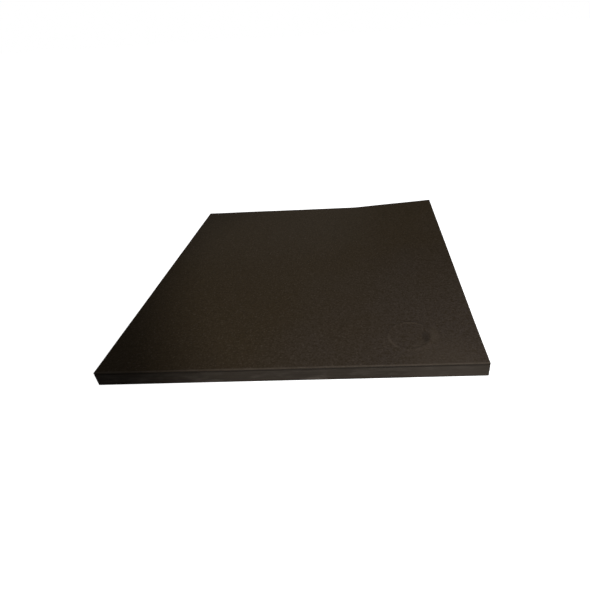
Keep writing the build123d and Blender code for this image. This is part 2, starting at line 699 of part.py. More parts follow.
connector_low, connector_high = TAB_MIDDLE - CONNECTOR_HEIGHT / 2, TAB_MIDDLE + CONNECTOR_HEIGHT / 2
with BuildPart() as tab_connectors:
    with BuildSketch(stat_plane):
        upright_block(*CONNECTOR, connector_low, connector_high)
        upright_block(-CONNECTOR[1], -CONNECTOR[0], connector_low, connector_high)
    extrude(amount=CONNECTOR_WIDTH / 2, both=True)
    for way in (STAT_TURN, STAT_TURN + 180):
        outward = (cos(radians(way)), sin(radians(way)), 0)
        with BuildSketch(Plane(origin=around_puck(CONNECTOR[1], way, TAB_MIDDLE), z_dir=outward)):
            Circle(CRIMP_RADIUS)
        extrude(amount=CRIMP_END - CONNECTOR[1])
    with BuildSketch(stat_plane):
        upright_block(-TAB_END, TAB_END, TAB_LOW - SLACK, TAB_LOW + TAB + SLACK)
    extrude(amount=TAB_WIDTH / 2 + SLACK, both=True, mode=Mode.SUBTRACT)
save(tab_connectors, "tab_connectors")
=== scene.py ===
import json
from math import atan, cos, radians, sin, tan

import bpy
import numpy as np
from mathutils import Matrix, Vector, noise


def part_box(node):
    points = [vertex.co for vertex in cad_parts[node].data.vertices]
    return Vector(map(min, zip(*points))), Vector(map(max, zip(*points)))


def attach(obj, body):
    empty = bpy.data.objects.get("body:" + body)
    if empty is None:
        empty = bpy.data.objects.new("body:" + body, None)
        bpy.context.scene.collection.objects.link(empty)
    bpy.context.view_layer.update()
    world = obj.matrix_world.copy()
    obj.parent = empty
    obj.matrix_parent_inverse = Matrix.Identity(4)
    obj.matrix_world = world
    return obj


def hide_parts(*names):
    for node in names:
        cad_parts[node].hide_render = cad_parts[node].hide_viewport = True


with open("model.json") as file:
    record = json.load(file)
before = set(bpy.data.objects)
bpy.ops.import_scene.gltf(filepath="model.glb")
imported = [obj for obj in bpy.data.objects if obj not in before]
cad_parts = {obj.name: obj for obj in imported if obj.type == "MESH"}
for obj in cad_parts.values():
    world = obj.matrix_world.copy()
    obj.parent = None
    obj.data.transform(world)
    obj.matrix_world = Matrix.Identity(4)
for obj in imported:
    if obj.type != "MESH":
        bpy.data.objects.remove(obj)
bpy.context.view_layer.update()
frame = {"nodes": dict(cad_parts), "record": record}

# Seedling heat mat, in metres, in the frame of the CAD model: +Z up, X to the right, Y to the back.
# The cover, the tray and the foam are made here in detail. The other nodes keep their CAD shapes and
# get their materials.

# ---- camera -------------------------------------------------------------------------------------
CAMERA_PLACE = (0.1018, -0.6364, 0.3990)
CAMERA_AZIMUTH, CAMERA_ELEVATION, CAMERA_ROLL = 2.91, 31.04, -3.57      # degrees
CAMERA_LENS = 25.36
CAMERA_SHIFT = (-0.0874, -0.0477)


def make_camera():
    """The photograph's view. Azimuth 0 looks along +Y."""
    azimuth, elevation, roll = (radians(a) for a in (CAMERA_AZIMUTH, CAMERA_ELEVATION, CAMERA_ROLL))
    back = Vector((sin(azimuth) * cos(elevation), -cos(azimuth) * cos(elevation), sin(elevation)))
    level_right = Vector((0, 0, 1)).cross(back).normalized()
    level_up = back.cross(level_right)
    right = cos(roll) * level_right + sin(roll) * level_up
    up = back.cross(right)
    data = bpy.data.cameras.new("camera")
    data.lens = CAMERA_LENS
    data.shift_x, data.shift_y = CAMERA_SHIFT
    camera = bpy.data.objects.new("camera", data)
    turn = Matrix((right, up, back)).transposed().to_4x4()
    camera.matrix_world = Matrix.Translation(CAMERA_PLACE) @ turn
    bpy.context.scene.collection.objects.link(camera)
    bpy.context.scene.camera = camera


make_camera()

# ---- measures taken from the frame --------------------------------------------------------------
cover_low, cover_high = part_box("top_cover")
tray_low, tray_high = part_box("base_tray")
seal_low, seal_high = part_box("perimeter_seal")
lid_low, lid_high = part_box("puck_lid")
housing_low, housing_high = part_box("gland_housing")
core_low, core_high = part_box("foam_core")

HALF = cover_high.x
UNDERSIDE = tray_low.z
COVER_UNDERSIDE = cover_low.z
WALL_TOP = seal_low.z
TRAY_FLOOR = core_low.z
JOINT_LEVEL = COVER_UNDERSIDE + 0.0003       # the middle of the painted shade along the joint
PUCK_CENTRE = (lid_low + lid_high) / 2
PUCK_RADIUS = (lid_high.x - lid_low.x) / 2

# ---- the print of the thermostat's puck in the cover --------------------------------------------
RING_CENTRE = (PUCK_CENTRE.x - 0.0037, PUCK_CENTRE.y + 0.0005)
RING_RADIUS = PUCK_RADIUS - 0.0029   # the puck's rim prints through, a little inside its edge
RING_DEPTH_SHARE = 0.97              # the print is a little shorter from front to back than across
RING_HEIGHT, RING_WIDTH = 0.00060, 0.0021
RING_STRONG = radians(-12)           # where the print is strongest, and how much stronger and wider
RING_GAIN, RING_SPREAD = 0.6, 1.0
RING_DISH = 0.00020
HOLLOW_PLACE, HOLLOW_SIZE = (0.0205, -0.0040), (0.0050, 0.0125)      # inside the ring, at its strong side
HOLLOW_DEPTH = 0.0008
# Painted highlights, then painted shade, round the print: offset from the ring's centre, size and
# strength, then the radius and the width of the arc that the mark is a part of, or nothing.
PAINTED_HIGHLIGHT_MARKS = (
    ((-0.0230, -0.0100), (0.0130, 0.0160), 1.00, (RING_RADIUS + 0.0008, 0.0024)),      # left arc
    ((0.0060, 0.0240), (0.0130, 0.0090), 0.60, (RING_RADIUS - 0.0012, 0.0020)),        # back arc
    ((0.0060, -0.0215), (0.0080, 0.0013), 1.00, None),                                 # front line
    ((0.0338, 0.0010), (0.0070, 0.0190), 0.50, None),                                  # right of the ring
    ((-0.0355, -0.0120), (0.0022, 0.0120), 0.35, None),                                # faint crease
)
# painted shade on the slopes round the print
PAINTED_SHADE_MARKS = (
    (HOLLOW_PLACE, HOLLOW_SIZE, 1.00, None),
    ((0.0080, 0.0250), (0.0160, 0.0120), 0.55, (RING_RADIUS + 0.0028, 0.0022)),        # behind the back arc
)

# ---- colours, as linear values, where the rubber is worn or dirty, and painted light and shade ---
COVER_BROWN = (0.0462, 0.0310, 0.0144)
COVER_GREY = (0.0550, 0.0418, 0.0332)
# pale wear, also used for painted highlights round the puck's print and painted light near the front right
# corner
COVER_WEAR_AND_PAINTED_LIGHT = (0.0780, 0.0590, 0.0420)
# wear and a painted highlight along the top arris
ARRIS_WEAR_AND_HIGHLIGHT = (0.0760, 0.0590, 0.0440)
TRAY_BROWN = (0.0440, 0.0345, 0.0255)
# the tray's scuffs, also used for painted light near the front right corner
TRAY_SCUFF_AND_PAINTED_LIGHT = (0.0740, 0.0600, 0.0480)
# painted shade, along the joint and on the slopes of the puck's print
PAINTED_SHADE = (0.0160, 0.0115, 0.0075)
PAINTED_SHADE_REACH = 0.0014          # how far the painted shade reaches above and below the joint
DUST = (0.12, 0.11, 0.10)
RUBBER_SPECULAR = 0.15
ARRIS_INNER, ARRIS_OUTER = 0.0022, 0.0014          # the arris wear and its painted highlight start, and are full, so far inside the outline
PAINTED_LIGHT_CORNER, PAINTED_LIGHT_CORNER_SIZE = (0.200, -HALF), (0.060, 0.060)      # a painted pool of light near the front right corner
PRINT_SHADE_STRENGTH, PRINT_HIGHLIGHT_STRENGTH = 0.48, 0.75                # strengths of the painted shade and painted highlights round the puck's print
COVER_CORNER_LIGHT, TRAY_CORNER_LIGHT = 0.35, 0.4                    # and of the painted light near the front right corner, on the cover and the tray
# strength of the painted shade along the joint
JOINT_SHADE = 0.7

# ---- the bend, as in the CAD model --------------------------------------------------------------
COVER_TOP = 0.022
CORNER_RADIUS = 0.001
TRAY_WALL = 0.005
BEND_RIGHT_Y = -0.170        # where the bend's line meets the right edge
BEND_BACK_X = 0.085          # where it meets the back edge
CORNER_LIFT = 0.011
BEND_RADIUS = 0.300

bend_start = Vector((HALF, BEND_RIGHT_Y))
bend_run = (Vector((BEND_BACK_X, HALF)) - bend_start).normalized()
bend_across = Vector((bend_run.y, -bend_run.x))
bend_angle = atan(CORNER_LIFT / (Vector((HALF, HALF)) - bend_start).dot(bend_across))
arc_start = -BEND_RADIUS * tan(bend_angle / 2)


def bent_height(x, y, level):
    """Height above the floor of points of the bent slab that lie at a level of the flat slab."""
    distance = (x - bend_start.x) * bend_across.x + (y - bend_start.y) * bend_across.y
    radius = BEND_RADIUS - level
    arc_end = arc_start + radius * sin(bend_angle)
    on_arc = np.clip(distance - arc_start, 0, arc_end - arc_start)
    arc_height = BEND_RADIUS - np.sqrt(radius ** 2 - on_arc ** 2)
    return arc_height + np.maximum(distance - arc_end, 0) * tan(bend_angle)


# ---- shader nodes -------------------------------------------------------------------------------
def add_node(tree, kind, settings=None, **inputs):
    """A shader node with its attributes and its inputs set, or linked where the input is a socket."""
    made = tree.nodes.new(kind)
    for key, value in (settings or {}).items():
        setattr(made, key, value)
    for key, value in inputs.items():
        target = made.inputs[key.replace("_", " ")]
        if isinstance(value, bpy.types.NodeSocket):
            tree.links.new(value, target)
        else:
            target.default_value = value
    return made


def new_material(name, colour, roughness, metallic=0.0, specular=0.5):
    """A material with even values, its node tree and its Principled shader."""
    material = bpy.data.materials.new(name)
    material.use_nodes = True
    shader = material.node_tree.nodes["Principled BSDF"]
    shader.inputs["Base Color"].default_value = (*colour, 1)
    shader.inputs["Roughness"].default_value = roughness
    shader.inputs["Metallic"].default_value = metallic
    shader.inputs["Specular IOR Level"].default_value = specular
    return material, material.node_tree, shader


def grain(tree, size, detail=2.0, roughness=0.5, distortion=0.0):
    """Cloudy noise round 0.5, with features of a size in metres: one number, or one for each axis."""
    sizes = size if isinstance(size, tuple) else (size, size, size)
    place = add_node(tree, "ShaderNodeTexCoord").outputs["Object"]
    mapped = add_node(tree, "ShaderNodeMapping", Vector=place, Scale=[1 / s for s in sizes]).outputs[0]
    return add_node(
        tree, "ShaderNodeTexNoise", Vector=mapped, Scale=1.0, Detail=detail, Roughness=roughness,
        Distortion=distortion,
    ).outputs["Fac"]


def cells(tree, size, output="Distance"):
    """Round cells of a size in metres: the distance from each cell's middle, or a colour for each cell."""
    place = add_node(tree, "ShaderNodeTexCoord").outputs["Object"]
    return add_node(tree, "ShaderNodeTexVoronoi", Vector=place, Scale=1 / size).outputs[output]


def plan_distance(tree, centre, size):
    """Distance in plan from a centre, in units of a size along X and along Y."""
    place = add_node(tree, "ShaderNodeTexCoord").outputs["Object"]
    scale = (1 / size[0], 1 / size[1], 0)
    offset = (-centre[0] / size[0], -centre[1] / size[1], 0)
    moved = add_node(tree, "ShaderNodeMapping", Vector=place, Scale=scale, Location=offset).outputs[0]
    return add_node(tree, "ShaderNodeVectorMath", {"operation": "LENGTH"}, Vector=moved).outputs["Value"]


def between(tree, value, low, high, to_low=0.0, to_high=1.0):
    """A smooth step of a value from one range to another."""
    step = add_node(
        tree, "ShaderNodeMapRange", {"interpolation_type": "SMOOTHSTEP"}, Value=value,
        From_Min=low, From_Max=high, To_Min=to_low, To_Max=to_high,
    )
    return step.outputs[0]


def combine(tree, operation, first, second):
    """A sum of two values, or another operation of the Math node, each a socket or a number."""
    made = add_node(tree, "ShaderNodeMath", {"operation": operation})
    for target, value in zip(made.inputs, (first, second)):
        if isinstance(value, bpy.types.NodeSocket):
            tree.links.new(value, target)
        else:
            target.default_value = value
    return made.outputs[0]


def mix_colours(tree, factor, first, second):
    """A mix of two colours, each a socket or a tuple."""
    made = add_node(tree, "ShaderNodeMix", {"data_type": "RGBA"})
    for target, value in ((made.inputs[0], factor), (made.inputs[6], first), (made.inputs[7], second)):
        if isinstance(value, bpy.types.NodeSocket):
            tree.links.new(value, target)
        else:
            target.default_value = (*value, 1) if isinstance(value, tuple) else value
    return made.outputs[2]


def mix_share(tree, mask, share, first, second):
    """The first colour, mixed with a share of the second where the mask is 1."""
    return mix_colours(tree, combine(tree, "MULTIPLY", mask, share), first, second)


def set_bump(tree, shader, *layers):
    """Relief on the surface: pairs of a height from 0 to 1 and its depth in metres."""
    normal = None
    for height, depth in layers:
        bump = add_node(tree, "ShaderNodeBump", Height=height, Distance=depth)
        if normal:
            tree.links.new(normal, bump.inputs["Normal"])
        normal = bump.outputs[0]
    tree.links.new(normal, shader.inputs["Normal"])


def facing(tree):
    """How far a surface faces up or down, from 0 on upright faces to 1 on level ones."""
    normal = add_node(tree, "ShaderNodeNewGeometry").outputs["Normal"]
    upward = add_node(tree, "ShaderNodeSeparateXYZ", Vector=normal).outputs["Z"]
    return combine(tree, "ABSOLUTE", upward, 0.0)


def arris(tree):
    """1 along the rounded edges between the broad faces and the sides of the slab."""
    place = add_node(tree, "ShaderNodeTexCoord").outputs["Object"]
    flat = add_node(tree, "ShaderNodeVectorMath", {"operation": "ABSOLUTE"}, Vector=place).outputs[0]
    parts = add_node(tree, "ShaderNodeSeparateXYZ", Vector=flat)
    outermost = combine(tree, "MAXIMUM", parts.outputs["X"], parts.outputs["Y"])
    near_outline = between(tree, outermost, HALF - ARRIS_INNER, HALF - ARRIS_OUTER)
    return combine(tree, "MULTIPLY", near_outline, between(tree, facing(tree), 0.45, 0.75))


def painted_light_corner(tree):
    """1 in the painted pool of light near the front right corner."""
    return between(tree, plan_distance(tree, PAINTED_LIGHT_CORNER, PAINTED_LIGHT_CORNER_SIZE), 1.2, 0.3)


def ring_marks(tree, marks):
    """The strongest of a set of marks round the print of the puck, from 0 to 1."""
    reach = plan_distance(tree, RING_CENTRE, (1, RING_DEPTH_SHARE))
    strongest = 0.0
    for offset, size, strength, arc in marks:
        centre = (RING_CENTRE[0] + offset[0], RING_CENTRE[1] + offset[1])
        mark = between(tree, plan_distance(tree, centre, size), 1.2, 0.4, 0.0, strength)
        if arc:
            radius, width = arc
            off_arc = combine(tree, "ABSOLUTE", combine(tree, "SUBTRACT", reach, radius), 0.0)
            mark = combine(tree, "MULTIPLY", mark, between(tree, off_arc, width, 0.3 * width))
        strongest = combine(tree, "MAXIMUM", strongest, mark)
    return strongest


def joint_shade(tree):
    """1 in the painted shade that lies in and along the joint between cover and tray."""
    level = add_node(tree, "ShaderNodeAttribute", {"attribute_name": "flat_level"}).outputs["Fac"]
    off_joint = combine(tree, "ABSOLUTE", combine(tree, "SUBTRACT", level, JOINT_LEVEL), 0.0)
    return between(tree, off_joint, PAINTED_SHADE_REACH, 0.4 * PAINTED_SHADE_REACH)


# ---- rubber materials ---------------------------------------------------------------------------
def make_cover_rubber():
    """Nearly black brown rubber with a fine pebbled grain and cloudy patches; a worn arris with a painted
    highlight, painted highlights and shade round the puck's print, painted light near the front right corner
    and painted shade along the joint.
    """
    material, tree, shader = new_material("cover_rubber", COVER_BROWN, 0.8, specular=RUBBER_SPECULAR)
    clouds = grain(tree, 0.11, 3.0, 0.55)
    mottle = grain(tree, 0.0045, 3.0, 0.65)
    flecks = grain(tree, 0.0024, 2.0, 0.6)
    pebble = cells(tree, 0.0022)
    fine = grain(tree, 0.0007, 2.0)
    side = between(tree, facing(tree), 0.5, 0.1)
    place = add_node(tree, "ShaderNodeTexCoord").outputs["Object"]
    parts = add_node(tree, "ShaderNodeSeparateXYZ", Vector=place)
    # greyer towards the front right, with a cloudy wobble
    to_near_right = combine(tree, "SUBTRACT", parts.outputs["X"], parts.outputs["Y"])
    wobble = combine(tree, "MULTIPLY", combine(tree, "SUBTRACT", clouds, 0.5), 0.4)
    grey_to_near_right = combine(tree, "ADD", to_near_right, wobble)
    colour = mix_colours(tree, between(tree, grey_to_near_right, 0.0, 0.50), COVER_BROWN, COVER_GREY)
    dark = tuple(0.70 * c for c in COVER_BROWN)
    blotches = grain(tree, 0.012, 2.0, 0.5)
    colour = mix_colours(tree, between(tree, blotches, 0.55, 0.36, 0.0, 0.15), colour, dark)
    colour = mix_colours(tree, between(tree, blotches, 0.52, 0.66, 0.0, 0.08), colour, COVER_WEAR_AND_PAINTED_LIGHT)
    colour = mix_colours(tree, between(tree, mottle, 0.56, 0.36, 0.0, 0.65), colour, dark)
    colour = mix_colours(tree, between(tree, flecks, 0.46, 0.32, 0.0, 0.8), colour, dark)
    colour = mix_colours(tree, between(tree, flecks, 0.56, 0.70, 0.0, 0.9), colour, COVER_WEAR_AND_PAINTED_LIGHT)
    colour = mix_colours(tree, between(tree, pebble, 0.35, 0.05, 0.0, 0.25), colour, COVER_WEAR_AND_PAINTED_LIGHT)
    specks = between(tree, cells(tree, 0.011), 0.05, 0.03, 0.0, 0.35)
    colour = mix_colours(tree, specks, colour, DUST)
    scuffs = between(tree, grain(tree, (0.004, 0.05, 0.004), 4.0, 0.7, 0.4), 0.66, 0.74, 0.0, 0.35)
    colour = mix_colours(tree, scuffs, colour, COVER_WEAR_AND_PAINTED_LIGHT)
    # painted shade and painted highlights on the slopes of the puck's print
    colour = mix_share(tree, ring_marks(tree, PAINTED_SHADE_MARKS), PRINT_SHADE_STRENGTH, colour, PAINTED_SHADE)
    colour = mix_share(tree, ring_marks(tree, PAINTED_HIGHLIGHT_MARKS), PRINT_HIGHLIGHT_STRENGTH, colour, COVER_WEAR_AND_PAINTED_LIGHT)
    # painted pool of light near the front right corner
    colour = mix_share(tree, painted_light_corner(tree), COVER_CORNER_LIGHT, colour, COVER_WEAR_AND_PAINTED_LIGHT)
    colour = mix_colours(tree, side, colour, TRAY_BROWN)
    # painted shade along the joint between cover and tray
    colour = mix_share(tree, joint_shade(tree), JOINT_SHADE, colour, PAINTED_SHADE)
    # wear and a painted highlight along the top arris
    uneven = between(tree, grain(tree, 0.012, 3.0), 0.3, 0.6, 0.5, 1.0)
    worn = combine(tree, "MULTIPLY", arris(tree), uneven)
    colour = mix_colours(tree, worn, colour, ARRIS_WEAR_AND_HIGHLIGHT)
    tree.links.new(colour, shader.inputs["Base Color"])
    rough = between(tree, clouds, 0.3, 0.7, 0.74, 0.70)
    rough = combine(tree, "ADD", rough, between(tree, mottle, 0.3, 0.7, 0.06, 0.0))
    rough = combine(tree, "SUBTRACT", rough, combine(tree, "MULTIPLY", worn, 0.12))
    tree.links.new(rough, shader.inputs["Roughness"])
    set_bump(tree, shader, (mottle, 0.00030), (flecks, 0.00014), (pebble, 0.00008), (fine, 0.00003))
    return material


def make_tray_rubber():
    """Moulded rubber, cut in level strokes: streaks along the sides, scuffed patches low down, painted light
    near the front right corner and painted shade along the joint.
    """
    material, tree, shader = new_material("tray_rubber", TRAY_BROWN, 0.75, specular=RUBBER_SPECULAR)
    streaks = grain(tree, (0.060, 0.060, 0.0011), 3.0, 0.6)
    patches = grain(tree, (0.034, 0.034, 0.009), 3.0, 0.55)
    pores = grain(tree, 0.0011, 2.0)
    place = add_node(tree, "ShaderNodeTexCoord").outputs["Object"]
    height = add_node(tree, "ShaderNodeSeparateXYZ", Vector=place).outputs["Z"]
    dark = tuple(0.72 * c for c in TRAY_BROWN)
    colour = mix_colours(tree, between(tree, streaks, 0.58, 0.36, 0.0, 0.8), TRAY_BROWN, dark)
    low_down = between(tree, height, 0.016, 0.003, 0.25, 1.0)
    scuffed = combine(tree, "MULTIPLY", between(tree, patches, 0.46, 0.66), low_down)
    colour = mix_colours(tree, scuffed, colour, TRAY_SCUFF_AND_PAINTED_LIGHT)
    # painted pool of light near the front right corner
    colour = mix_share(tree, painted_light_corner(tree), TRAY_CORNER_LIGHT, colour, TRAY_SCUFF_AND_PAINTED_LIGHT)
    # painted shade along the joint between cover and tray
    colour = mix_share(tree, joint_shade(tree), JOINT_SHADE, colour, PAINTED_SHADE)
    specks = between(tree, cells(tree, 0.009), 0.05, 0.03, 0.0, 0.4)
    colour = mix_colours(tree, specks, colour, DUST)
    tree.links.new(colour, shader.inputs["Base Color"])
    tree.links.new(between(tree, patches, 0.35, 0.65, 0.80, 0.62), shader.inputs["Roughness"])
    set_bump(tree, shader, (streaks, 0.00012), (patches, 0.00010), (pores, 0.00005))
    return material


def make_seal_strip():
    """Black sealant with a slightly lumpy skin."""
    material, tree, shader = new_material("seal_strip", (0.008, 0.007, 0.006), 0.7, specular=0.2)
    lumps = grain(tree, 0.004, 2.0)
    colour = mix_colours(tree, between(tree, lumps, 0.3, 0.7), (0.005, 0.005, 0.004), (0.012, 0.010, 0.008))
    tree.links.new(colour, shader.inputs["Base Color"])
    tree.links.new(between(tree, lumps, 0.3, 0.7, 0.8, 0.6), shader.inputs["Roughness"])
    set_bump(tree, shader, (lumps, 0.0001), (grain(tree, 0.0006), 0.00003))
    return material


def make_soft_rubber():
    """Soft black rubber of the gland's seals, with talc left in its pores."""
    material, tree, shader = new_material("soft_rubber", (0.012, 0.012, 0.012), 0.65, specular=0.3)
    talc = grain(tree, 0.0015, 3.0, 0.6)
    colour = mix_colours(tree, between(tree, talc, 0.5, 0.8), (0.010, 0.010, 0.010), (0.05, 0.05, 0.048))
    tree.links.new(colour, shader.inputs["Base Color"])
    tree.links.new(between(tree, talc, 0.4, 0.7, 0.55, 0.8), shader.inputs["Roughness"])
    set_bump(tree, shader, (talc, 0.00004), (grain(tree, 0.0003), 0.00001))
    return material


# ---- plastics, foam, films ----------------------------------------------------------------------
def make_moulded(name, colour, worn, roughness=0.5, texture=0.0004, depth=0.000025):
    """A moulded plastic: spark-eroded grain, flow clouds and rubbed edges."""
    material, tree, shader = new_material(name, colour, roughness, specular=0.45)
    flow = grain(tree, 0.009, 3.0, 0.5, 0.6)
    tone = tuple(0.82 * c for c in colour)
    shade = mix_colours(tree, between(tree, flow, 0.35, 0.65), tone, colour)
    rubbed = between(tree, grain(tree, (0.001, 0.006, 0.001), 4.0, 0.7), 0.60, 0.72, 0.0, 0.5)
    shade = mix_colours(tree, rubbed, shade, worn)
    tree.links.new(shade, shader.inputs["Base Color"])
    rough = between(tree, flow, 0.3, 0.7, roughness - 0.07, roughness + 0.09)
    tree.links.new(rough, shader.inputs["Roughness"])
    set_bump(tree, shader, (cells(tree, texture), depth), (flow, 0.00005))
    return material


def make_foam():
    """Cream closed-cell foam with cut cells and a few larger voids."""
    material, tree, shader = new_material("foam", (0.60, 0.57, 0.47), 0.9, specular=0.2)
    cell = cells(tree, 0.0009)
    clouds = grain(tree, 0.03, 3.0)
    colour = mix_colours(tree, between(tree, clouds, 0.35, 0.65), (0.62, 0.60, 0.50), (0.54, 0.50, 0.39))
    colour = mix_colours(tree, between(tree, cell, 0.35, 0.0, 0.0, 0.5), colour, (0.33, 0.30, 0.22))
    tree.links.new(colour, shader.inputs["Base Color"])
    tree.links.new(between(tree, cell, 0.0, 0.5, 0.95, 0.8), shader.inputs["Roughness"])
    voids = between(tree, cells(tree, 0.006), 0.10, 0.18)
    set_bump(tree, shader, (cell, 0.0003), (voids, 0.0004))
    return material


def make_film():
    """Clear, slightly yellow polyester film with faint creases."""
    material, tree, shader = new_material("film", (0.62, 0.50, 0.27), 0.2, specular=0.5)
    shader.inputs["Transmission Weight"].default_value = 0.6
    creases = grain(tree, (0.05, 0.012, 0.05), 3.0, 0.6, 1.0)
    colour = mix_colours(tree, between(tree, creases, 0.35, 0.65), (0.58, 0.45, 0.22), (0.66, 0.55, 0.33))
    tree.links.new(colour, shader.inputs["Base Color"])
    tree.links.new(between(tree, creases, 0.3, 0.7, 0.12, 0.3), shader.inputs["Roughness"])
    set_bump(tree, shader, (creases, 0.0002), (grain(tree, 0.0008), 0.00001))
    return material


def make_carbon_ink():
    """Printed carbon: the screen's fine dots, and bands where the ink ran thin."""
    material, tree, shader = new_material("carbon_ink", (0.022, 0.022, 0.023), 0.6, specular=0.4)
    dots = cells(tree, 0.0004)
    bands = grain(tree, (0.05, 0.0015, 0.05), 3.0)
    colour = mix_colours(tree, between(tree, bands, 0.4, 0.7), (0.016, 0.016, 0.017), (0.045, 0.044, 0.044))
    tree.links.new(colour, shader.inputs["Base Color"])
    tree.links.new(between(tree, bands, 0.3, 0.7, 0.5, 0.7), shader.inputs["Roughness"])
    set_bump(tree, shader, (dots, 0.00002), (bands, 0.00002))
    return material


def make_insulation(name, colour):
    """Extruded wire insulation: a satin skin with draw lines and faint handling marks."""
    material, tree, shader = new_material(name, colour, 0.38, specular=0.5)
    marks = grain(tree, 0.005, 3.0, 0.6)
    dull = tuple(0.6 * c + 0.03 for c in colour)
    shade = mix_colours(tree, between(tree, marks, 0.5, 0.75), colour, dull)
    tree.links.new(shade, shader.inputs["Base Color"])
    tree.links.new(between(tree, marks, 0.3, 0.7, 0.3, 0.48), shader.inputs["Roughness"])
    set_bump(tree, shader, (grain(tree, 0.0008, 3.0), 0.00002))
    return material


# ---- metals -------------------------------------------------------------------------------------
def make_metal(name, colour, tarnish, roughness, lay):
    """A metal with brushing or rolling lines along one way and tarnish in clouds. lay gives the lines'
    size along each axis."""
    material, tree, shader = new_material(name, colour, roughness, metallic=1.0)
    lines = grain(tree, lay, 4.0, 0.7)
    clouds = grain(tree, 0.006, 4.0, 0.65, 0.5)
    shade = mix_colours(tree, between(tree, clouds, 0.50, 0.72, 0.0, 0.8), colour, tarnish)
    tree.links.new(shade, shader.inputs["Base Color"])
    rough = combine(tree, "ADD", between(tree, lines, 0.3, 0.7, roughness - 0.06, roughness + 0.06),
                    between(tree, clouds, 0.5, 0.72, 0.0, 0.2))
    tree.links.new(rough, shader.inputs["Roughness"])
    set_bump(tree, shader, (lines, 0.00001), (clouds, 0.00002))
    return material


# ---- a material for every slot ------------------------------------------------------------------
materials = {
    "cover_rubber": make_cover_rubber(),
    "tray_rubber": make_tray_rubber(),
    "seal_strip": make_seal_strip(),
    "soft_rubber": make_soft_rubber(),
    "black_plastic": make_moulded("black_plastic", (0.012, 0.012, 0.013), (0.05, 0.05, 0.05)),
    "grey_plastic": make_moulded("grey_plastic", (0.075, 0.075, 0.080), (0.16, 0.16, 0.16)),
    "pale_plastic": make_moulded("pale_plastic", (0.60, 0.58, 0.50), (0.45, 0.42, 0.34)),
    "phenolic": make_moulded("phenolic", (0.022, 0.011, 0.007), (0.07, 0.045, 0.03), 0.4, 0.0008),
    "ceramic_white": make_moulded(
        "ceramic_white", (0.74, 0.72, 0.66), (0.52, 0.49, 0.42), 0.3, 0.0006, 0.00001),
    "foam": make_foam(),
    "film": make_film(),
    "carbon_ink": make_carbon_ink(),
    "brown_insulation": make_insulation("brown_insulation", (0.060, 0.020, 0.008)),
    "blue_insulation": make_insulation("blue_insulation", (0.010, 0.045, 0.20)),
    "green_insulation": make_insulation("green_insulation", (0.020, 0.14, 0.025)),
    "spreader_aluminium": make_metal(
        "spreader_aluminium", (0.78, 0.78, 0.79), (0.55, 0.55, 0.54), 0.32, (0.0004, 0.08, 0.0004)),
    "copper": make_metal("copper", (0.72, 0.36, 0.22), (0.30, 0.13, 0.07), 0.28, (0.0004, 0.05, 0.0004)),
    "brass": make_metal("brass", (0.72, 0.52, 0.22), (0.36, 0.22, 0.08), 0.30, (0.004, 0.0003, 0.0003)),
    "plated_steel": make_metal(
        "plated_steel", (0.66, 0.66, 0.64), (0.42, 0.42, 0.38), 0.30, (0.002, 0.002, 0.0002)),
    "tinned_copper": make_metal(
        "tinned_copper", (0.70, 0.69, 0.65), (0.46, 0.43, 0.38), 0.38, (0.003, 0.0005, 0.003)),
    "bimetal": make_metal("bimetal", (0.56, 0.54, 0.48), (0.34, 0.30, 0.22), 0.34, (0.0003, 0.006, 0.0003)),
}

for row in frame["record"]["subparts"]:
    node_mesh = frame["nodes"][row["node"]].data
    node_mesh.materials.clear()
    node_mesh.materials.append(materials[row["material_slot"]])

# ---- slab meshes --------------------------------------------------------------------------------
EDGE_STEPS = (0, 0.00006, 0.00018, 0.00036, 0.0006, 0.0009, 0.0014, 0.002)     # inwards, from the outline


def even_lines(low, high, pitch):
    """Evenly spaced places from low to high, about a pitch apart."""
    return np.linspace(low, high, max(2, round((high - low) / pitch) + 1))


def grid_lines(pitch, extra=()):
    """Places of the grid lines along one side: close at both edges, even between, with extra ones."""
    near_edge = [side * (HALF - step) for side in (-1, 1) for step in EDGE_STEPS]
    inner = HALF - EDGE_STEPS[-1]
    lines = np.concatenate([near_edge, even_lines(-inner, inner, pitch), *[np.atleast_1d(e) for e in extra]])
    return np.unique(lines.round(6))


def rounded_outline(x, y):
    """Moves points of a square grid so that its corners become round. Returns the points and how far
    inside the outline they are."""
    start = HALF - CORNER_RADIUS
    u = np.clip((np.abs(x) - start) / CORNER_RADIUS, 0, 1)
    v = np.clip((np.abs(y) - start) / CORNER_RADIUS, 0, 1)
    in_corner = (u > 0) & (v > 0)
    new_x = np.where(in_corner, np.sign(x) * (start + CORNER_RADIUS * u * np.sqrt(1 - v * v / 2)), x)
    new_y = np.where(in_corner, np.sign(y) * (start + CORNER_RADIUS * v * np.sqrt(1 - u * u / 2)), y)
    from_centre = np.hypot(np.abs(new_x) - start, np.abs(new_y) - start)
    inside = np.where(in_corner, CORNER_RADIUS - from_centre, HALF - np.maximum(np.abs(x), np.abs(y)))
    return new_x, new_y, np.maximum(inside, 0)


def edge_round(inside, radius):
    """How far a broad face falls away near the outline, for a rounded edge of that radius."""
    short = np.clip(radius - inside, 0, radius)
    return radius - np.sqrt(radius ** 2 - short ** 2)


def make_mesh_object(name, points, faces, flat_levels, material, sharp_angle=40):
    """A smooth-shaded object whose points remember their level in the flat slab."""
    mesh = bpy.data.meshes.new(name)
    mesh.from_pydata(points, [], faces)
    mesh.attributes.new("flat_level", "FLOAT", "POINT").data.foreach_set("value", flat_levels)
    mesh.validate()
    mesh.shade_smooth()
    mesh.set_sharp_from_angle(angle=radians(sharp_angle))
    mesh.materials.append(material)
    made = bpy.data.objects.new(name, mesh)
    bpy.context.scene.collection.objects.link(made)
    return made


